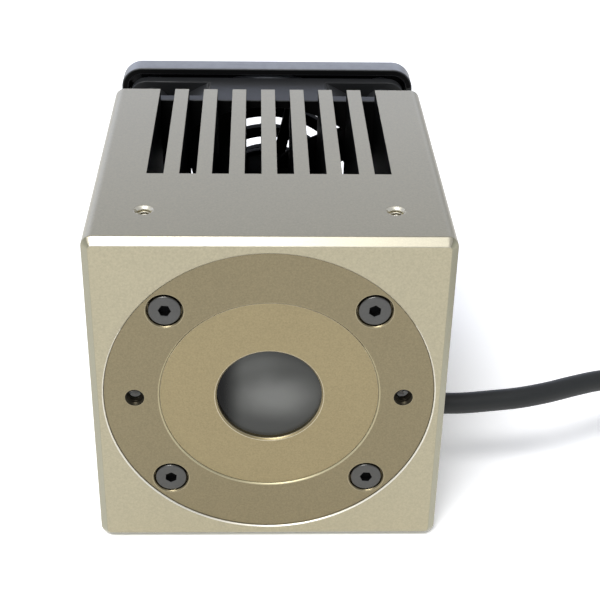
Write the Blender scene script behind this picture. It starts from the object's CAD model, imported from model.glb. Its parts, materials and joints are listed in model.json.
"""Looks of the cooled astronomy camera: view, captive lead, finishes, finished pieces and light.

Metres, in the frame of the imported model: X to the viewer's right, front towards -Y, Z up.
Sizes named in capitals are millimetres and angles are degrees, unless a comment says otherwise.
Flat machined edges get a fine rounding on a merged copy of the CAD node, and repeated pieces
(screws, blades, threads) are laid out with Geometry Nodes.
"""

import json
import math

import bmesh
import bpy
from mathutils import Matrix, Vector


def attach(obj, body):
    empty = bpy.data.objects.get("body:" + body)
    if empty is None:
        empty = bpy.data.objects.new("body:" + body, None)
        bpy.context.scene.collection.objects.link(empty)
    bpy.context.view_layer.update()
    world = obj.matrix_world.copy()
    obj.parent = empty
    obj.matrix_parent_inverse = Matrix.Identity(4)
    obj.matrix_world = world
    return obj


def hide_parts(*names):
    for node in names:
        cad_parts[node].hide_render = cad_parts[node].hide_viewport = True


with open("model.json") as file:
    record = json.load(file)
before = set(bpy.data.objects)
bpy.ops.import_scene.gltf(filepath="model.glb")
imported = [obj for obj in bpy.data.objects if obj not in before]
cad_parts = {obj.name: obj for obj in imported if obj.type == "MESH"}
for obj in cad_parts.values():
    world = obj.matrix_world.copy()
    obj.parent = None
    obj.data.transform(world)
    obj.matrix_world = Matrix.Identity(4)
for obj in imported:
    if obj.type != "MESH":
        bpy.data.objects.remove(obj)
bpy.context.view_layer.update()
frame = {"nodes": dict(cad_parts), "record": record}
NODES = frame["nodes"]
MM = 0.001

# Sizes shared with the part's source.
FRONT_Y = -42.5
AXIS_Z = 32.5
BODY_D = 66.5
SLOT_FRONT = 25.6
FAN_FRONT = BODY_D
FAN_REAR = 79.5
TOP_HOLE_X, TOP_HOLE_DEPTH = 22.0, 10.85
FLANGE_HOLE_X = 24.2
SCREW_CIRCLE_R, SCREW_SEAT = 25.8, 2.05


def at_depth(x, depth, z):
    """A point given by its offset from the optical axis and its depth below the front face."""
    return Vector((x, FRONT_Y + depth, AXIS_Z + z)) * MM


def new_object(name, data):
    made = bpy.data.objects.new(name, data)
    bpy.context.scene.collection.objects.link(made)
    return made


# Camera, placed from the photograph's vanishing lines and the circles of the front.
CAMERA_AT = (-2.279, -235.983, 169.758)
CAMERA_YAW, CAMERA_PITCH, CAMERA_ROLL = 2.195, 31.025, 1.218
FOCAL_LENGTH, SENSOR_WIDTH = 78.856, 36


def add_camera():
    yaw, pitch, roll = (math.radians(a) for a in (CAMERA_YAW, CAMERA_PITCH, CAMERA_ROLL))
    ahead = Vector(
        (math.sin(yaw) * math.cos(pitch), math.cos(yaw) * math.cos(pitch), -math.sin(pitch))
    )
    level = Vector((math.cos(yaw), -math.sin(yaw), 0))
    upright = level.cross(ahead)
    right = math.cos(roll) * level + math.sin(roll) * upright
    up = math.cos(roll) * upright - math.sin(roll) * level
    lens = bpy.data.cameras.new("photo_camera")
    lens.sensor_width = SENSOR_WIDTH
    lens.lens = FOCAL_LENGTH
    lens.clip_start = 0.01
    camera = new_object("photo_camera", lens)
    turned = Matrix((right, up, -ahead)).transposed().to_4x4()
    camera.matrix_world = Matrix.Translation(Vector(CAMERA_AT) * MM) @ turned
    bpy.context.scene.camera = camera


add_camera()

# Lead: the route's points from the part's source, with the coil's rule.
LEAD_D = 4.2
COIL_X, COIL_Y, COIL_R, COIL_PITCH = 112.0, 12.0, 28.8, 4.75
COIL_TURNS, COIL_LAYERS = 9.5, 4
LAYER_Z = 3.3
TOP_Z = LAYER_Z + (COIL_LAYERS - 1) * COIL_PITCH
PLUG_R, PLUG_GAP, PLUG_Y = 5.5, 0.3, 7.2
PLUG_Z = TOP_Z + LEAD_D / 2 + PLUG_GAP + PLUG_R
LEAD_OUT = [
    (32, -27, 20.5), (37.8, -27, 20.5), (43.5, -26.1, 20.4), (49.5, -24.8, 20.2),
    (55.5, -22.6, 19.9), (61.5, -19.6, 19.4), (67, -16.8, 18.7), (72.5, -14.4, 17.6),
    (78, -12.9, 15.9), (83.5, -12.5, 13.4), (89, -13.3, 10), (94, -14.6, 6.9), (98.8, -16, 4.6),
    (COIL_X - 2 * LEAD_D, COIL_Y - COIL_R, LAYER_Z), (COIL_X - LEAD_D, COIL_Y - COIL_R, LAYER_Z),
]
LEAD_END = [
    (COIL_X - LEAD_D, COIL_Y + COIL_R, TOP_Z), (COIL_X - 2 * LEAD_D, COIL_Y + COIL_R, TOP_Z),
    (99.6, 40.2, TOP_Z + 0.35), (95.9, 38.5, TOP_Z + 1.25), (92.6, 35.9, TOP_Z + 2.55),
    (90.2, 32.4, TOP_Z + 3.95), (88.6, 28.3, TOP_Z + 5.25), (88.1, 24, TOP_Z + 6.25),
    (88.6, 19.7, TOP_Z + 6.95), (90.2, 15.6, TOP_Z + 7.45), (92.6, 12.1, TOP_Z + 7.75),
    (95.9, 9.5, PLUG_Z), (99.6, 7.8, PLUG_Z), (COIL_X - 2 * LEAD_D, PLUG_Y, PLUG_Z),
    (COIL_X - LEAD_D, PLUG_Y, PLUG_Z), (COIL_X, PLUG_Y, PLUG_Z),
]


def coil_points(steps=24, climb=0.5):
    """The stored coil: in and out by turns, climbing a layer round each reversal.

    A climb takes its share of a turn.
    """
    per_layer = COIL_TURNS / COIL_LAYERS
    count = math.ceil(COIL_TURNS * steps)
    points = []
    for i in range(count + 1):
        turn = i * COIL_TURNS / count
        swing = turn % (2 * per_layer)
        swing = min(swing, 2 * per_layer - swing)
        climbed = 0
        for layer in range(1, COIL_LAYERS):
            u = min(1, max(0, (turn - layer * per_layer) / climb + 0.5))
            climbed += u * u * (3 - 2 * u)
        r, a = COIL_R - COIL_PITCH * swing, 2 * math.pi * turn - math.pi / 2
        points.append(
            (COIL_X + r * math.cos(a), COIL_Y + r * math.sin(a), LAYER_Z + COIL_PITCH * climbed)
        )
    return points


def smooth_path(points, steps=4):
    """The points with an even curve drawn through them."""
    p = [Vector(q) for q in points]
    path = []
    for i in range(len(p) - 1):
        a, b = p[i], p[i + 1]
        before = p[i - 1] if i else a + (a - b)
        after = p[i + 2] if i + 2 < len(p) else b + (b - a)
        for k in range(steps):
            u = k / steps
            path.append(
                0.5 * (2 * a + (b - before) * u + (2 * before - 5 * a + 4 * b - after) * u**2
                       + (3 * a - before - 3 * b + after) * u**3)
            )
    return path + [p[-1]]


def add_lead():
    route = [Vector(p) * MM for p in smooth_path(LEAD_OUT + coil_points() + LEAD_END)]
    curve = bpy.data.curves.new("lead", "CURVE")
    curve.dimensions = "3D"
    curve.bevel_depth = 1.0
    curve.bevel_resolution = 6
    curve.use_fill_caps = True
    line = curve.splines.new("POLY")
    line.points.add(len(route) - 1)
    for point, place in zip(line.points, route):
        point.co = (*place, 1)
        point.radius = LEAD_D / 2 * MM
    line.use_smooth = True
    lead = new_object("lead", curve)
    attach(lead, "camera")
    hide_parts("cable", "cable_coil", "cable_end")
    return lead


lead = add_lead()

# Meshes: merged copies of CAD nodes, turned forms, and copies placed by Geometry Nodes.
# An edge that turns by ROUNDED_TURN or more is rounded, a chamfer's edge turns by less than
# CHAMFER_TURN, one that turns by less than SMOOTH_TURN lies in a curved surface, and one that
# turns by less than FLAT_TURN in a flat one.
ROUNDED_TURN, CHAMFER_TURN, SMOOTH_TURN, FLAT_TURN = 40, 50, 25, 1
MERGED = 0.001
SOCKET_TURN = 40


def new_piece(name, mesh, body="camera"):
    piece = new_object(name, mesh)
    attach(piece, body)
    return piece


def settled(piece):
    """The piece's mesh with its modifiers worked in."""
    graph = bpy.context.evaluated_depsgraph_get()
    graph.update()
    mesh = bpy.data.meshes.new_from_object(piece.evaluated_get(graph), depsgraph=graph)
    mesh.name = piece.name
    return mesh


def rounded_copy(node, width, slot, rim=None):
    """Stands for a CAD node: its mesh with every outer edge rounded by a width in millimetres.

    A rim gives a width of its own to the edges of a chamfer, which turn by half a right angle,
    and the distance from the optical axis beyond which it holds.
    """
    mesh = NODES[node].data.copy()
    if "custom_normal" in mesh.attributes:
        mesh.attributes.remove(mesh.attributes["custom_normal"])
    form = bmesh.new()
    form.from_mesh(mesh)
    bmesh.ops.remove_doubles(form, verts=form.verts, dist=MERGED * MM)
    bmesh.ops.dissolve_limit(
        form, angle_limit=math.radians(FLAT_TURN), verts=form.verts, edges=form.edges
    )
    share = form.edges.layers.float.new("bevel_weight_edge")
    widest = rim[0] if rim else width
    for edge in form.edges:
        turn = math.degrees(edge.calc_face_angle_signed(0))
        middle = (edge.verts[0].co + edge.verts[1].co) / 2 / MM
        reach = math.hypot(middle.x, middle.z - AXIS_Z)
        on_rim = rim and turn < CHAMFER_TURN and reach > rim[1]
        edge[share] = 0 if turn < ROUNDED_TURN else 1 if on_rim else width / widest
        edge.smooth = turn >= ROUNDED_TURN or abs(turn) < SMOOTH_TURN
    form.to_mesh(mesh)
    form.free()
    mesh.materials.clear()
    mesh.materials.append(FINISH[slot])
    mesh.materials.append(EDGE_FINISH.get(slot, FINISH[slot]))
    for face in mesh.polygons:
        face.material_index = 0
        face.use_smooth = True
    piece = new_piece(node + "_rounded", mesh)
    edges = piece.modifiers.new("edges", "BEVEL")
    edges.width = widest * MM
    edges.segments = 3 if rim else 2
    edges.limit_method = "WEIGHT"
    edges.use_clamp_overlap = False
    edges.material = 1
    flat = piece.modifiers.new("flat_faces", "WEIGHTED_NORMAL")
    flat.keep_sharp = True
    piece.data = settled(piece)
    piece.modifiers.clear()
    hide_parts(node)
    return piece


def refinish(piece, finish, chosen):
    """Another finish on the faces that are chosen by their place and their normal.

    The place is the offset from the middle of the front face, in millimetres.
    """
    piece.data.materials.append(finish)
    for face in piece.data.polygons:
        if chosen(face.center / MM - Vector((0, FRONT_Y, AXIS_Z)), face.normal):
            face.material_index = len(piece.data.materials) - 1


def ring_form(rings):
    """A closed form through rings of points with equal counts; a ring of one point is a pole."""
    form = bmesh.new()
    made = [[form.verts.new(p) for p in ring] for ring in rings]
    for one, two in zip(made, made[1:]):
        count = max(len(one), len(two))
        for i in range(count):
            a, b = one[i % len(one)], one[(i + 1) % len(one)]
            c, d = two[(i + 1) % len(two)], two[i % len(two)]
            form.faces.new([v for n, v in enumerate((a, b, c, d)) if v not in (a, b, c, d)[:n]])
    for end in (made[0], made[-1]):
        if len(end) > 1:
            form.faces.new(end)
    bmesh.ops.recalc_face_normals(form, faces=form.faces)
    return form


def circle(radius, y, steps):
    """A ring about the Y axis, in millimetres; a radius of nothing gives its pole."""
    if radius == 0:
        return [Vector((0, y, 0)) * MM]
    turns = [2 * math.pi * i / steps for i in range(steps)]
    return [Vector((radius * math.sin(a), y, radius * math.cos(a))) * MM for a in turns]


def hexagon(across, y, steps):
    """A ring of points along a hexagon, in step with a circle of as many points."""
    ring = []
    for i in range(steps):
        a = 2 * math.pi * i / steps
        from_flat = (a + math.radians(SOCKET_TURN)) % (math.pi / 3) - math.pi / 6
        reach = across / 2 / math.cos(from_flat)
        ring.append(Vector((reach * math.sin(a), y, reach * math.cos(a))) * MM)
    return ring


def to_mesh(form, name, sharp=35):
    """The form as a smooth mesh with its edges sharp from an angle on."""
    mesh = bpy.data.meshes.new(name)
    form.to_mesh(mesh)
    form.free()
    for face in mesh.polygons:
        face.use_smooth = True
    mesh.set_sharp_from_angle(angle=math.radians(sharp))
    return mesh


# Nodes: short forms for building trees.
def feed(tree, socket, value):
    """Links the socket to another one, or sets its own value."""
    if isinstance(value, bpy.types.NodeSocket):
        tree.links.new(value, socket)
    else:
        socket.default_value = value


def put(tree, kind, sockets=None, **settings):
    """Adds a node, with its settings, and sets or links its inputs by name or number."""
    made = tree.nodes.new(kind)
    for key, value in settings.items():
        setattr(made, key, value)
    for key, value in (sockets or {}).items():
        feed(tree, made.inputs[key], value)
    return made


def calc(tree, operation, *values):
    return put(tree, "ShaderNodeMath", dict(enumerate(values)), operation=operation).outputs[0]


def distance(tree, across, up):
    squares = [calc(tree, "MULTIPLY", side, side) for side in (across, up)]
    return calc(tree, "SQRT", calc(tree, "ADD", *squares))


def scaled(tree, vector, by):
    return put(tree, "ShaderNodeVectorMath", {0: vector, "Scale": by}, operation="SCALE").outputs[0]


def mixed(tree, share, one, two):
    """One colour that goes over into another."""
    return put(tree, "ShaderNodeMix", {0: share, 6: one, 7: two}, data_type="RGBA").outputs[2]


def noise(tree, vector, scale, detail, rough=0.5):
    sockets = {"Vector": vector, "Scale": scale, "Detail": detail, "Roughness": rough}
    return put(tree, "ShaderNodeTexNoise", sockets).outputs[0]


def fade(tree, value, start, end, first=0.0, last=1.0):
    """Goes smoothly from the first level to the last while the value goes from start to end."""
    sockets = {"Value": value, "From Min": start, "From Max": end, "To Min": first, "To Max": last}
    return put(tree, "ShaderNodeMapRange", sockets, interpolation_type="SMOOTHSTEP").outputs[0]


def node_group(name, kind, inputs, outputs):
    """A tree with named inputs and outputs; gives it, its given sockets and its result sockets."""
    tree = bpy.data.node_groups.new(name, kind)
    for label, socket, value in inputs:
        made = tree.interface.new_socket(label, in_out="INPUT", socket_type="NodeSocket" + socket)
        if value is not None:
            made.default_value = value
    for label, socket in outputs:
        tree.interface.new_socket(label, in_out="OUTPUT", socket_type="NodeSocket" + socket)
    return tree, put(tree, "NodeGroupInput").outputs, put(tree, "NodeGroupOutput").inputs


def placed(piece, tree, **values):
    """Runs a Geometry Nodes tree on the piece, keeps the result as its mesh, takes the tree off."""
    modifier = piece.modifiers.new("placed", "NODES")
    modifier.node_group = tree
    for item in tree.interface.items_tree:
        key = item.name.lower().replace(" ", "_")
        if item.in_out == "INPUT" and key in values:
            modifier[item.identifier] = values[key]
    piece.data.update()
    piece.data = settled(piece)
    piece.modifiers.clear()


def copies_at(tree, given, result, points, form, turn):
    """Ends a tree with turned copies of a form at the points, as one mesh in its finish."""
    copies = put(
        tree, "GeometryNodeInstanceOnPoints", {"Points": points, "Instance": form, "Rotation": turn}
    ).outputs[0]
    whole = put(tree, "GeometryNodeRealizeInstances", {"Geometry": copies}).outputs[0]
    finished = put(
        tree, "GeometryNodeSetMaterial", {"Geometry": whole, "Material": given["Finish"]}
    ).outputs[0]
    tree.links.new(finished, result["Geometry"])


def round_axis_tree():
    """Copies of the piece's mesh, evenly round an axis along Y."""
    tree, given, result = node_group(
        "round_axis", "GeometryNodeTree",
        [("Geometry", "Geometry", None), ("Count", "Int", 4), ("Radius", "Float", 0.0),
         ("Start", "Float", 0.0), ("Centre", "Vector", (0, 0, 0)), ("Finish", "Material", None)],
        [("Geometry", "Geometry")],
    )
    index = put(tree, "GeometryNodeInputIndex").outputs[0]
    share = calc(tree, "DIVIDE", index, given["Count"])
    turn = calc(tree, "MULTIPLY_ADD", share, 2 * math.pi, given["Start"])
    across = calc(tree, "MULTIPLY", calc(tree, "SINE", turn), given["Radius"])
    up = calc(tree, "MULTIPLY", calc(tree, "COSINE", turn), given["Radius"])
    offset = put(tree, "ShaderNodeCombineXYZ", {"X": across, "Z": up}).outputs[0]
    place = put(
        tree, "ShaderNodeVectorMath", {0: offset, 1: given["Centre"]}, operation="ADD"
    ).outputs[0]
    points = put(
        tree, "GeometryNodePoints", {"Count": given["Count"], "Position": place}
    ).outputs[0]
    spin = put(tree, "ShaderNodeCombineXYZ", {"Y": turn}).outputs[0]
    copies_at(tree, given, result, points, given["Geometry"], spin)
    return tree


def thread_tree():
    """A screw thread's ridge at each point of the piece, turned to the hole's axis."""
    tree, given, result = node_group(
        "hole_thread", "GeometryNodeTree",
        [("Geometry", "Geometry", None), ("Radius", "Float", 0.0012), ("Pitch", "Float", 0.0005),
         ("Turns", "Float", 8.0), ("Ridge", "Float", 0.00016), ("Tilt", "Vector", (0, 0, 0)),
         ("Finish", "Material", None)],
        [("Geometry", "Geometry")],
    )
    length = calc(tree, "MULTIPLY", given["Pitch"], given["Turns"])
    helix = put(
        tree, "GeometryNodeCurveSpiral",
        {"Resolution": 20, "Rotations": given["Turns"], "Start Radius": given["Radius"],
         "End Radius": given["Radius"], "Height": length},
    ).outputs[0]
    section = put(
        tree, "GeometryNodeCurvePrimitiveCircle", {"Resolution": 6, "Radius": given["Ridge"]}
    ).outputs[0]
    ridge = put(
        tree, "GeometryNodeCurveToMesh",
        {"Curve": helix, "Profile Curve": section, "Fill Caps": True},
    ).outputs[0]
    smooth = put(tree, "GeometryNodeSetShadeSmooth", {"Geometry": ridge}).outputs[0]
    points = put(tree, "GeometryNodeMeshToPoints", {"Mesh": given["Geometry"]}).outputs[0]
    copies_at(tree, given, result, points, smooth, given["Tilt"])
    return tree


# Effects that several finishes share.
def slow_tone():
    """A colour that drifts slowly lighter and darker over the piece."""
    tree, given, result = node_group(
        "slow_tone", "ShaderNodeTree",
        [("Vector", "Vector", None), ("Color", "Color", (1, 1, 1, 1)), ("Size", "Float", 0.02),
         ("Amount", "Float", 0.05)],
        [("Color", "Color")],
    )
    scale = calc(tree, "DIVIDE", 1.0, given["Size"])
    cloud = noise(tree, given["Vector"], scale, 3.0, 0.55)
    swing = calc(tree, "MULTIPLY", calc(tree, "SUBTRACT", cloud, 0.5), given["Amount"])
    gain = calc(tree, "MULTIPLY_ADD", swing, 4.0, 1.0)
    tree.links.new(scaled(tree, given["Color"], gain), result["Color"])
    return tree


def fine_grain():
    """Blasted or moulded grain: a flecked colour, a value for gloss and a height."""
    tree, given, result = node_group(
        "fine_grain", "ShaderNodeTree",
        [("Vector", "Vector", None), ("Color", "Color", (1, 1, 1, 1)), ("Fleck", "Float", 0.0),
         ("Size", "Float", 0.0003), ("Pits", "Float", 0.4)],
        [("Color", "Color"), ("Value", "Float"), ("Height", "Float")],
    )
    scale = calc(tree, "DIVIDE", 1.0, given["Size"])
    flecks = noise(tree, given["Vector"], scale, 2.0, 0.6)
    cells = put(
        tree, "ShaderNodeTexVoronoi", {"Vector": given["Vector"], "Scale": scale}
    ).outputs[0]
    height = put(tree, "ShaderNodeMix", {0: given["Pits"], 2: flecks, 3: cells}).outputs[0]
    gain = calc(tree, "MULTIPLY_ADD", calc(tree, "SUBTRACT", flecks, 0.5), given["Fleck"], 1.0)
    tree.links.new(scaled(tree, given["Color"], gain), result["Color"])
    tree.links.new(flecks, result["Value"])
    tree.links.new(height, result["Height"])
    return tree


def turning_marks():
    """Fine rings left by turning, about the optical axis."""
    tree, given, result = node_group(
        "turning_marks", "ShaderNodeTree",
        [("Vector", "Vector", None), ("Axis height", "Float", AXIS_Z * MM),
         ("Pitch", "Float", 0.0004)],
        [("Value", "Float"), ("Height", "Float")],
    )
    axes = put(tree, "ShaderNodeSeparateXYZ", {0: given["Vector"]}).outputs
    up = calc(tree, "SUBTRACT", axes["Z"], given["Axis height"])
    rings = calc(tree, "DIVIDE", distance(tree, axes["X"], up), given["Pitch"])
    uneven = put(
        tree, "ShaderNodeTexNoise", {"W": rings, "Scale": 0.8, "Detail": 3.0}, noise_dimensions="1D"
    ).outputs[0]
    wave = calc(tree, "SINE", calc(tree, "MULTIPLY", rings, 2 * math.pi))
    tree.links.new(uneven, result["Value"])
    tree.links.new(calc(tree, "MULTIPLY_ADD", wave, 0.25, uneven), result["Height"])
    return tree


def settled_dust():
    """A faint film of dust on what faces up."""
    tree, given, result = node_group(
        "settled_dust", "ShaderNodeTree",
        [("Vector", "Vector", None), ("Color", "Color", (0, 0, 0, 1)),
         ("Dust", "Color", (0.5, 0.52, 0.56, 1)), ("Amount", "Float", 0.1)],
        [("Color", "Color")],
    )
    facing = put(tree, "ShaderNodeNewGeometry").outputs["Normal"]
    up = put(tree, "ShaderNodeSeparateXYZ", {0: facing}).outputs["Z"]
    specks = noise(tree, given["Vector"], 420.0, 5.0, 0.7)
    patchy = calc(tree, "MULTIPLY_ADD", specks, 1.2, 0.4)
    lying = calc(tree, "MULTIPLY", fade(tree, up, 0.3, 0.95), patchy)
    film = calc(tree, "MULTIPLY", lying, given["Amount"])
    tree.links.new(mixed(tree, film, given["Color"], given["Dust"]), result["Color"])
    return tree


SLOW_TONE, FINE_GRAIN, TURNING, DUST = slow_tone(), fine_grain(), turning_marks(), settled_dust()
GLOSS_SWING, RING_SHARE, GRAIN_HEIGHT = 0.08, 0.7, 0.25  # in a finish's roughness and height


def effect(tree, group, **sockets):
    """A shared effect in a material; its inputs are named in lower case."""
    made = put(tree, "ShaderNodeGroup")
    made.node_tree = group
    for socket in made.inputs:
        key = socket.name.lower().replace(" ", "_")
        if key in sockets:
            feed(tree, socket, sockets[key])
    return made.outputs


def new_finish(name):
    """An empty material; gives it with its tree, its shader and the piece's own coordinates."""
    material = bpy.data.materials.new(name)
    material.use_nodes = True
    tree = material.node_tree
    tree.nodes.clear()
    shader = put(tree, "ShaderNodeBsdfPrincipled")
    put(tree, "ShaderNodeOutputMaterial", {"Surface": shader.outputs[0]})
    return material, tree, shader, put(tree, "ShaderNodeTexCoord").outputs["Object"]


def surface(name, colour, rough, metal=0.0, tone=(0.02, 0.04), grain=(0.0003, 0.4), depth=5e-6,
            fleck=0.2, dust=0.0, turned=None, **constants):
    """A finish: drifting colour, grain in its colour, gloss and height, dust or turning marks.

    Tone is a size and an amount, grain a size and a share of pits; sizes and depths are metres.
    """
    material, tree, shader, here = new_finish(name)
    shader.inputs["Metallic"].default_value = metal
    for key, value in constants.items():
        shader.inputs[key.replace("_", " ").title().replace("Ior", "IOR")].default_value = value
    toned = effect(
        tree, SLOW_TONE, vector=here, color=(*colour, 1), size=tone[0], amount=tone[1]
    )["Color"]
    if dust:
        toned = effect(tree, DUST, vector=here, color=toned, amount=dust)["Color"]
    marks = effect(
        tree, FINE_GRAIN, vector=here, color=toned, fleck=fleck, size=grain[0], pits=grain[1]
    )
    tree.links.new(marks["Color"], shader.inputs["Base Color"])
    value, height = marks["Value"], marks["Height"]
    if turned:
        rings = effect(tree, TURNING, vector=here, pitch=turned)
        ringed = calc(tree, "MULTIPLY", rings["Value"], RING_SHARE)
        value = calc(tree, "MULTIPLY_ADD", value, 1 - RING_SHARE, ringed)
        height = calc(tree, "MULTIPLY_ADD", height, GRAIN_HEIGHT, rings["Height"])
    gloss = calc(tree, "MULTIPLY_ADD", calc(tree, "SUBTRACT", value, 0.5), GLOSS_SWING, rough)
    tree.links.new(gloss, shader.inputs["Roughness"])
    bump = put(tree, "ShaderNodeBump", {"Strength": 1.0, "Distance": depth, "Height": height})
    tree.links.new(bump.outputs[0], shader.inputs["Normal"])
    return material


def vary_gloss(tree, shader, here, size, pits, swing, rough):
    """Roughness that follows a grain, from a least value up."""
    grain = effect(tree, FINE_GRAIN, vector=here, size=size, pits=pits)
    gloss = calc(tree, "MULTIPLY_ADD", grain["Value"], swing, rough)
    tree.links.new(gloss, shader.inputs["Roughness"])


def hazed_window():
    """Coated window: a grey bloom inside the glass, darker towards one side."""
    material, tree, shader, here = new_finish("hazed_window")
    in_mm = 1 / MM
    centred = put(
        tree, "ShaderNodeMapping",
        {"Vector": here, "Location": at_depth(0, 0, 0) * -in_mm, "Scale": (in_mm,) * 3},
    ).outputs[0]
    axes = put(tree, "ShaderNodeSeparateXYZ", {0: centred}).outputs
    drift = noise(tree, here, 160.0, 2.0)
    stray = calc(tree, "MULTIPLY", calc(tree, "SUBTRACT", drift, 0.5), 0.25)

    def spot(x, z, wide, high):
        """One in the middle of an oval patch, fading to nothing at its edge."""
        across = calc(tree, "DIVIDE", calc(tree, "SUBTRACT", axes["X"], x), wide)
        up = calc(tree, "DIVIDE", calc(tree, "SUBTRACT", axes["Z"], z), high)
        away = calc(tree, "ADD", distance(tree, across, up), stray)
        return fade(tree, away, 0.15, 1.15, 1.0, 0.0)

    glow = calc(tree, "MULTIPLY", spot(0.9, -1.0, 8.8, 5.6), 0.145)
    veil = calc(tree, "MULTIPLY_ADD", spot(-3.0, 6.5, 7.0, 5.0), 0.045, 0.085)
    left = fade(tree, axes["X"], -8.9, -4.4)
    level = calc(tree, "MULTIPLY", calc(tree, "ADD", glow, veil), left)
    warmth = calc(tree, "MULTIPLY", glow, 6.0)
    tint = mixed(tree, warmth, (1.0, 1.01, 0.93, 1), (1.0, 1.0, 0.93, 1))
    tree.links.new(scaled(tree, tint, level), shader.inputs["Base Color"])
    vary_gloss(tree, shader, here, size=0.0006, pits=0.2, swing=0.05, rough=0.06)
    shader.inputs["Specular IOR Level"].default_value = 0.12
    shader.inputs["Transmission Weight"].default_value = 0.2
    shader.inputs["IOR"].default_value = 1.5
    return material


def clear_glass():
    material, tree, shader, here = new_finish("clear_glass")
    tint = effect(
        tree, SLOW_TONE, vector=here, color=(0.86, 0.93, 0.95, 1), size=0.006, amount=0.02
    )["Color"]
    tree.links.new(tint, shader.inputs["Base Color"])
    vary_gloss(tree, shader, here, size=0.0008, pits=0.2, swing=0.03, rough=0.02)
    shader.inputs["Transmission Weight"].default_value = 1.0
    return material


def circuit_board():
    """Solder mask with faint tracks under it."""
    material, tree, shader, here = new_finish("circuit_board")
    turned = put(
        tree, "ShaderNodeMapping", {"Vector": here, "Rotation": (math.radians(90), 0, 0)}
    ).outputs[0]
    blocks = put(
        tree, "ShaderNodeTexBrick",
        {"Vector": turned, "Scale": 900.0, "Mortar Size": 0.06, "Color1": (0.02, 0.11, 0.045, 1),
         "Color2": (0.024, 0.13, 0.055, 1), "Mortar": (0.05, 0.2, 0.09, 1)},
    ).outputs
    toned = effect(
        tree, SLOW_TONE, vector=here, color=blocks["Color"], size=0.01, amount=0.05
    )["Color"]
    tree.links.new(toned, shader.inputs["Base Color"])
    vary_gloss(tree, shader, here, size=0.0004, pits=0.3, swing=0.12, rough=0.28)
    bump = put(
        tree, "ShaderNodeBump", {"Strength": 1.0, "Distance": 1e-5, "Height": blocks["Fac"]}
    ).outputs[0]
    tree.links.new(bump, shader.inputs["Normal"])
    return material


ANODISED = {"coat_weight": 1.0, "coat_ior": 1.7}
TURNED = {"depth": 4e-6, "fleck": 0.5, "coat_weight": 0.3, "coat_roughness": 0.35}
FINISH = {
    "body": surface("blasted_champagne", (0.4, 0.356, 0.228), 0.42, 1.0, tone=(0.025, 0.02),
                    grain=(0.00035, 0.5), fleck=0.5, coat_roughness=0.38, **ANODISED),
    "flange": surface("turned_bronze", (0.244, 0.204, 0.119), 0.4, 1.0, tone=(0.02, 0.02),
                      turned=0.0005, **TURNED),
    "disc": surface("turned_khaki", (0.323, 0.264, 0.144), 0.42, 1.0, tone=(0.012, 0.02),
                    turned=0.0004, **TURNED),
    "window_glass": hazed_window(),
    "sensor_glass": clear_glass(),
    "black_rubber": surface("black_rubber", (0.022, 0.022, 0.023), 0.62, grain=(0.0005, 0.6),
                            depth=1.2e-5, dust=0.05),
    "jacket": surface("lead_jacket", (0.007, 0.0082, 0.0075), 0.5, grain=(0.0004, 0.4),
                      depth=8e-6, dust=0.02, specular_ior_level=0.43),
    "black_plastic": surface("moulded_black", (0.007, 0.0085, 0.0095), 0.4, grain=(0.0004, 0.6),
                             depth=8e-6, dust=0.3, ior=1.55, coat_weight=0.6, coat_ior=1.6,
                             coat_roughness=0.3),
    "fan_plastic": surface("moulded_fan", (0.008, 0.0085, 0.009), 0.45, grain=(0.0005, 0.5),
                           depth=6e-6, dust=0.02),
    "white_plastic": surface("moulded_white", (0.72, 0.7, 0.62), 0.42, grain=(0.0004, 0.5)),
    "black_metal": surface("black_anodised", (0.02, 0.02, 0.021), 0.4, 0.6),
    "dark_steel": surface("blackened_steel", (0.104, 0.103, 0.098), 0.34, 1.0, tone=(0.004, 0.05),
                          grain=(0.0004, 0.3), depth=4e-6),
    "bare_steel": surface("ground_steel", (0.56, 0.56, 0.55), 0.3, 1.0, grain=(0.0003, 0.3),
                          depth=3e-6),
    "brass": surface("turned_brass", (0.7, 0.5, 0.22), 0.3, 1.0, grain=(0.0003, 0.3), depth=3e-6),
    "copper": surface("bare_copper", (0.66, 0.33, 0.19), 0.34, 1.0, grain=(0.0003, 0.3),
                      depth=4e-6),
    "ceramic": surface("dark_ceramic", (0.16, 0.15, 0.14), 0.55),
    "white_ceramic": surface("white_ceramic", (0.8, 0.78, 0.73), 0.5),
    "silicon": surface("sensor_silicon", (0.05, 0.065, 0.11), 0.12, 0.4, grain=(0.0002, 0.2),
                       depth=5e-7),
    "pellet": surface("cooler_pellet", (0.16, 0.16, 0.17), 0.45, 0.7, grain=(0.0002, 0.5)),
    "board": circuit_board(),
    "red_wire": surface("red_wire", (0.36, 0.022, 0.02), 0.42, grain=(0.0003, 0.3)),
    "magnet": surface("moulded_magnet", (0.06, 0.06, 0.063), 0.55, 0.2, grain=(0.0003, 0.5)),
}
EDGE_FINISH = {
    "flange": surface("bronze_edge", (0.4, 0.35, 0.23), 0.34, 1.0, tone=(0.004, 0.06)),
    "disc": surface("khaki_edge", (0.66, 0.59, 0.43), 0.44, 1.0, tone=(0.004, 0.06),
                    coat_weight=0.6, coat_ior=1.6, coat_roughness=0.4),
}
DEEP_BLACK = surface("deep_black", (0.004, 0.004, 0.004), 0.6, specular_ior_level=0.05)
DARK_HOLE = surface("dark_hole", (0.03, 0.026, 0.018), 0.4, 1.0, tone=(0.004, 0.06))
HOLE_END = surface("bare_hole_end", (0.95, 0.93, 0.88), 0.62, 1.0)
CUT_EDGE = surface("cut_champagne", (0.5, 0.465, 0.35), 0.47, 1.0, tone=(0.02, 0.03), fleck=0.3,
                   coat_roughness=0.36, **ANODISED)
BORE_EDGE = surface("bright_champagne", (0.86, 0.82, 0.7), 0.5, 1.0, tone=(0.02, 0.03),
                    coat_roughness=0.4, **ANODISED)
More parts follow.
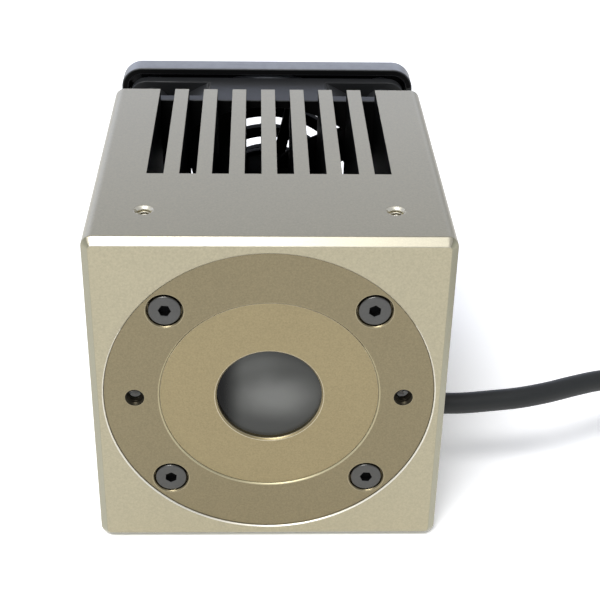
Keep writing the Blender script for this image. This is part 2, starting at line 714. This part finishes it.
BARE_HOLE = surface("bare_hole", (0.75, 0.72, 0.62), 0.5, 1.0, tone=(0.004, 0.06))
SEAT_EDGE = surface("pale_bronze", (0.5, 0.45, 0.29), 0.46, 1.0, tone=(0.02, 0.03))
SHADED_EDGE = surface("shaded_champagne", (0.1, 0.088, 0.06), 0.4, 1.0, tone=(0.02, 0.03))
DULL_EDGE = surface("dull_champagne", (0.31, 0.29, 0.185), 0.42, 1.0, tone=(0.025, 0.02),
                    fleck=0.4, coat_roughness=0.38, **ANODISED)

ROUND_AXIS, HOLE_THREAD = round_axis_tree(), thread_tree()


# Pieces with a form of their own.
def add_flange_screws():
    """Button-head socket screws; one stands on its seat at the origin with its head towards -Y."""
    steps, head_r, head_h, edge_r = 36, 2.9, 1.65, 0.35
    socket, mouth_r, mouth_depth, floor_depth, point_depth = 2.0, 1.38, 0.13, 1.1, 1.2
    dark_from, dark_to, dark_r = 0.5, 2.0, 1.3
    profile = [(0, 11), (1.2, 11), (1.45, 10.7), (1.45, 0), (head_r - 0.05, 0), (head_r, -0.06)]
    for i in range(7):
        a = math.radians(15 * i)
        profile.append(
            (head_r - edge_r + edge_r * math.cos(a), -head_h + edge_r - edge_r * math.sin(a))
        )
    profile.append((mouth_r, -head_h))
    rings = [circle(r, y, steps) for r, y in profile]
    rings += [hexagon(socket, -head_h + depth, steps) for depth in (mouth_depth, floor_depth)]
    rings.append(circle(0, -head_h + point_depth, steps))
    piece = new_piece("flange_screws_turned", to_mesh(ring_form(rings), "flange_screw"))
    placed(piece, ROUND_AXIS, count=4, radius=SCREW_CIRCLE_R * MM, start=math.radians(45),
           centre=at_depth(0, SCREW_SEAT, 0), finish=FINISH["dark_steel"])
    reach = SCREW_CIRCLE_R / math.sqrt(2)
    refinish(piece, DEEP_BLACK, lambda off, way: dark_from < off.y < dark_to
             and math.hypot(abs(off.x) - reach, abs(off.z) - reach) < dark_r)
    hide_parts("flange_screws")


def add_threads(name, places, turns, tilt, finish):
    """The thread's ridge in tapped holes, from the bottom of each hole."""
    mesh = bpy.data.meshes.new(name)
    mesh.from_pydata(places, [], [])
    piece = new_piece(name, mesh)
    placed(piece, HOLE_THREAD, turns=turns, tilt=tilt, finish=finish)
    return piece


BLADE_T, HUB_R, TIP_R, BLADE_DEPTH, BLADE_SWEEP = 1.3, 13.0, 27.8, 8.6, 22.0
BLADE_COUNT, ROOT_ANGLE, TIP_ANGLE, ROTOR_TURN = 5, 35.0, 31.0, 7.0
ROOT_SINK, BLADE_START, HUB_MARGIN = 0.45, 1.1, 0.2
TIP_TAPER, CAMBER, DEPTH_FIT = 0.12, 0.18, 0.94  # shares of the chord and of the depth


def blade_rings(stations=14, steps=18):
    """Closed sections of one blade from the hub to the tip, each on its own cylinder about Y."""
    rings = []
    root_r = HUB_R - ROOT_SINK
    for k in range(stations):
        share = k / (stations - 1)
        r = root_r + share * (TIP_R - root_r)
        pitch = math.radians(ROOT_ANGLE + share * (TIP_ANGLE - ROOT_ANGLE))
        chord = BLADE_DEPTH / math.sin(pitch) * (1 - TIP_TAPER * share)
        ring = []
        for i in range(2 * steps + 2):
            s = (i if i <= steps else 2 * steps + 1 - i) / steps - 0.5
            side = 1 if i <= steps else -1
            half = BLADE_T * (0.25 + 0.75 * math.sqrt(max(0, 1 - 4 * s * s))) / 2
            lift = side * half + CAMBER * chord * (0.25 - s * s)
            along = s * chord * math.cos(pitch) - lift * math.sin(pitch)
            deep = s * chord * math.sin(pitch) + lift * math.cos(pitch)
            a = along / r + math.radians(share * BLADE_SWEEP)
            depth = BLADE_START + BLADE_DEPTH / 2 + deep * DEPTH_FIT
            ring.append(Vector((r * math.cos(a), depth, -r * math.sin(a))) * MM)
        rings.append(ring)
    return rings


def add_rotor():
    """Five blades on a turned hub cup, with a shallow dish in the hub's face."""
    form = ring_form(blade_rings())
    piece = new_piece("rotor_bladed", to_mesh(form, "rotor_bladed", sharp=50), "rotor")
    centre = at_depth(0, FAN_FRONT, 0)
    placed(piece, ROUND_AXIS, count=BLADE_COUNT, start=math.radians(ROTOR_TURN), centre=centre,
           finish=FINISH["fan_plastic"])
    profile = [(0, 0.95), (8.6, 0.95), (9.0, 0.8), (12.0, 0.8), (12.7, 1.1), (HUB_R, 1.8),
               (HUB_R, 10.0), (12.1, 10.0), (12.1, 2.0), (2.4, 2.0), (2.4, 4.5), (1.02, 4.5),
               (1.02, 1.4), (0, 1.4)]
    hub = ring_form([circle(r, y, steps=72) for r, y in profile])
    bmesh.ops.translate(hub, verts=hub.verts, vec=centre)
    hub_mesh = to_mesh(hub, "hub")
    whole = bmesh.new()
    whole.from_mesh(piece.data)
    whole.from_mesh(hub_mesh)
    whole.to_mesh(piece.data)
    whole.free()
    bpy.data.meshes.remove(hub_mesh)
    refinish(piece, DEEP_BLACK, lambda off, way: from_axis(off) < HUB_R + HUB_MARGIN)
    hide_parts("fan_rotor")


# How far edges are rounded on the block, its front rim, turned plates, the frame and mouldings.
BLOCK_ROUND, RIM_ROUND, TURNED_ROUND, FRAME_ROUND, MOULDED_ROUND = 0.08, 0.12, 0.05, 0.2, 0.3

# Limits that pick out faces: offsets from the middle of the front face, and shares of a normal.
CUT_FROM, CUT_TO = 0.02, 1.28
OUTER_CUT, BORE_CUT_R, LIT_CUT_Z = 30.4, 30.2, 15
CUT_WAY, SINK_WAY, ASLANT, FLAT = 0.25, 0.2, 0.3, 0.95
FORWARD, BACKWARD, SIDEWAYS = 0.6, 0.5, 0.1
SLOTS_X, SLOTS_Z, SLOTS_FROM, SLOTS_TO = 22.65, 32.2, SLOT_FRONT - 0.02, BODY_D - 0.2
SINK_Z, SINK_REAR, SINK_R = 31.9, 11.4, 2.2
FLANGE_RIM_R = 29.5
SEAT_FROM_R, SEAT_TO_R, SEAT_DEPTH, SEAT_LIT_Z = 19, 20.5, 2.2, 11
HOLE_R, HOLE_FROM, HOLE_TO, LIT_THREAD = 1.8, 0.42, 4.4, 2.4
FAN_BORE_R, FAN_BORE_TO = 28.5, FAN_REAR - 1
TOP_THREAD_Z, TOP_THREAD_TURNS = 24.6, 14.5
FLANGE_THREAD_DEPTH, FLANGE_THREAD_TURNS = 4.8, 7.5


def from_axis(off):
    """Distance from the optical axis."""
    return math.hypot(off.x, off.z)


def on_front_cut(off, way):
    """On one of the chamfers in the front, which face forward and aslant."""
    return CUT_FROM < off.y < CUT_TO and CUT_WAY < -way.y < FLAT


def in_flange_hole(off):
    return math.hypot(abs(off.x) - FLANGE_HOLE_X, off.z) < HOLE_R


def in_top_sink(off, way):
    """In the rear of a top hole's countersink, which shows from the front."""
    return (off.z > SINK_Z and SINK_WAY < way.z < FLAT and off.y > SINK_REAR
            and math.hypot(abs(off.x) - TOP_HOLE_X, off.y - TOP_HOLE_DEPTH) < SINK_R)


body = rounded_copy("body_block", BLOCK_ROUND, "body", rim=(RIM_ROUND, OUTER_CUT))
refinish(body, CUT_EDGE, lambda off, way: on_front_cut(off, way)
         and (off.z > OUTER_CUT and way.z > ASLANT or from_axis(off) < BORE_CUT_R))
refinish(body, BORE_EDGE, lambda off, way: on_front_cut(off, way)
         and from_axis(off) < BORE_CUT_R and off.z < LIT_CUT_Z)
refinish(body, DULL_EDGE, lambda off, way: on_front_cut(off, way)
         and (abs(off.x) > OUTER_CUT and abs(way.x) > ASLANT
              or off.z < -OUTER_CUT and way.z < -ASLANT))
refinish(body, DEEP_BLACK, lambda off, way: abs(off.x) < SLOTS_X and abs(off.z) < SLOTS_Z
         and SLOTS_FROM < off.y < SLOTS_TO)
refinish(body, BARE_HOLE, in_top_sink)
flange = rounded_copy("front_flange", TURNED_ROUND, "flange")
refinish(flange, SHADED_EDGE, lambda off, way: from_axis(off) > FLANGE_RIM_R and way.y > -FLAT)
refinish(flange, SEAT_EDGE, lambda off, way: SEAT_FROM_R < from_axis(off) < SEAT_TO_R
         and off.y < SEAT_DEPTH and -FLAT < way.y < SIDEWAYS and off.z < SEAT_LIT_Z)
refinish(flange, DARK_HOLE, lambda off, way: off.y > HOLE_FROM and in_flange_hole(off))
fan = rounded_copy("fan_frame", FRAME_ROUND, "fan_plastic")
refinish(fan, DEEP_BLACK, lambda off, way: from_axis(off) < FAN_BORE_R and off.y < FAN_BORE_TO)
guard = rounded_copy("fan_guard", MOULDED_ROUND, "black_plastic")
refinish(guard, FINISH["fan_plastic"], lambda off, way: way.y < -FORWARD)
refinish(guard, DEEP_BLACK, lambda off, way: way.y < BACKWARD and from_axis(off) < FAN_BORE_R)
rounded_copy("aperture_disc", TURNED_ROUND, "disc")
rounded_copy("cable_bush", MOULDED_ROUND, "black_rubber")
add_flange_screws()
top_places = [at_depth(x, TOP_HOLE_DEPTH, TOP_THREAD_Z) for x in (-TOP_HOLE_X, TOP_HOLE_X)]
add_threads("top_threads", top_places, TOP_THREAD_TURNS, (0, 0, 0), BARE_HOLE)
flange_places = [at_depth(x, FLANGE_THREAD_DEPTH, 0) for x in (-FLANGE_HOLE_X, FLANGE_HOLE_X)]
threads = add_threads("flange_threads", flange_places, FLANGE_THREAD_TURNS,
                      (math.radians(90), 0, 0), DARK_HOLE)
refinish(threads, HOLE_END, lambda off, way: off.y > LIT_THREAD)
refinish(flange, HOLE_END, lambda off, way: off.y > HOLE_TO and in_flange_hole(off))
add_rotor()

# Finishes of the CAD nodes that stay, from the record's slots; the tie is dull like the fan.
for part in frame["record"]["subparts"]:
    node = NODES[part["node"]]
    for place in node.material_slots:
        place.material = FINISH[part["material_slot"]]
NODES["coil_tie"].material_slots[0].material = FINISH["fan_plastic"]
lead.data.materials.append(FINISH["jacket"])

# Stage: pale floor, studio surroundings and one soft lamp; sizes here are metres.
FLOOR_HALF, FLOOR_DROP = 3, 0.00005
FLOOR_TONE, FLOOR_SEEN, FLOOR_LIFT = 0.82, 0.66, 0.36
LAMP_W, LAMP_H, LAMP_WATTS, LAMP_FAR = 0.6, 0.4, 13.4, 1.5
LAMP_WAY, LAMP_AIM = (-0.22, -0.49, 0.85), (0, 0, 0.03)
OVERHEAD = [(0.6, (0.4, 0.41, 0.43)), (1.0, (0.48, 0.48, 0.49))]


def add_floor():
    """A pale floor that looks white to the camera and lifts what mirrors it."""
    mesh = bpy.data.meshes.new("floor")
    half = FLOOR_HALF
    corners = [(-half, -half, 0), (half, -half, 0), (half, half, 0), (-half, half, 0)]
    mesh.from_pydata(corners, [], [(0, 1, 2, 3)])
    floor = new_object("floor", mesh)
    floor.location.z = -FLOOR_DROP
    material = bpy.data.materials.new("pale_floor")
    material.use_nodes = True
    tree = material.node_tree
    tree.nodes.clear()
    path = put(tree, "ShaderNodeLightPath").outputs
    reflected = calc(tree, "MAXIMUM", path["Is Glossy Ray"], path["Is Transmission Ray"])
    tone = calc(tree, "MULTIPLY_ADD", path["Is Camera Ray"], FLOOR_SEEN, FLOOR_TONE)
    paper = put(tree, "ShaderNodeBsdfDiffuse", {"Color": tone}).outputs[0]
    strength = calc(tree, "MULTIPLY", reflected, FLOOR_LIFT)
    lift = put(tree, "ShaderNodeEmission", {"Strength": strength}).outputs[0]
    both = put(tree, "ShaderNodeAddShader", {0: paper, 1: lift}).outputs[0]
    put(tree, "ShaderNodeOutputMaterial", {"Surface": both})
    mesh.materials.append(material)


def add_surroundings():
    """Grey overhead, with a bright band low behind that is dimmer on the right; white if seen."""
    world = bpy.data.worlds.new("studio")
    world.use_nodes = True
    tree = world.node_tree
    tree.nodes.clear()
    way = put(tree, "ShaderNodeTexCoord").outputs["Generated"]
    axes = put(tree, "ShaderNodeSeparateXYZ", {0: way}).outputs

    def sky(tones):
        """Colours from the horizon to overhead."""
        made = put(tree, "ShaderNodeValToRGB", {"Fac": axes["Z"]})
        stops = made.color_ramp.elements
        for i, (place, colour) in enumerate(tones):
            last = i == len(tones) - 1
            stop = stops[0] if i == 0 else stops[-1] if last else stops.new(place)
            stop.position, stop.color = place, (*colour, 1)
        return made.outputs[0]

    ahead = sky([(0.0, (0.95, 0.98, 1.03)), (0.3, (0.88, 0.93, 1.02)), (0.47, (0.52, 0.54, 0.59)),
                 (0.6, (0.42, 0.43, 0.46)), OVERHEAD[-1]])
    behind = sky([(0.0, (0.62, 0.66, 0.74)), (0.2, (1.36, 1.47, 1.8)), (0.3, (1.4, 1.52, 1.92)),
                  (0.38, (1.04, 1.12, 1.42)), (0.46, (0.5, 0.515, 0.56)), *OVERHEAD])
    right_rear = sky([(0.0, (0.38, 0.4, 0.45)), (0.3, (0.6, 0.64, 0.75)),
                      (0.46, (0.5, 0.515, 0.56)), *OVERHEAD])
    rear = mixed(tree, fade(tree, axes["X"], 0.2, 0.5), behind, right_rear)
    whole = mixed(tree, fade(tree, axes["Y"], 0.0, 0.7), ahead, rear)
    around = put(tree, "ShaderNodeBackground", {"Color": whole}).outputs[0]
    white = put(tree, "ShaderNodeBackground", {"Color": (1, 1, 1, 1)}).outputs[0]
    camera_ray = put(tree, "ShaderNodeLightPath").outputs["Is Camera Ray"]
    shown = put(tree, "ShaderNodeMixShader", {0: camera_ray, 1: around, 2: white}).outputs[0]
    put(tree, "ShaderNodeOutputWorld", {"Surface": shown})
    bpy.context.scene.world = world


def add_lamp():
    """A wide soft box in front, high up and a little to the left."""
    lamp = bpy.data.lights.new("soft_box", "AREA")
    lamp.shape = "RECTANGLE"
    lamp.size, lamp.size_y = LAMP_W, LAMP_H
    lamp.energy = LAMP_WATTS
    holder = new_object("soft_box", lamp)
    way = Vector(LAMP_WAY).normalized()
    holder.location = Vector(LAMP_AIM) + way * LAMP_FAR
    holder.rotation_euler = way.to_track_quat("Z", "Y").to_euler()


add_floor()
add_surroundings()
add_lamp()
bpy.context.scene.view_settings.view_transform = "Standard"
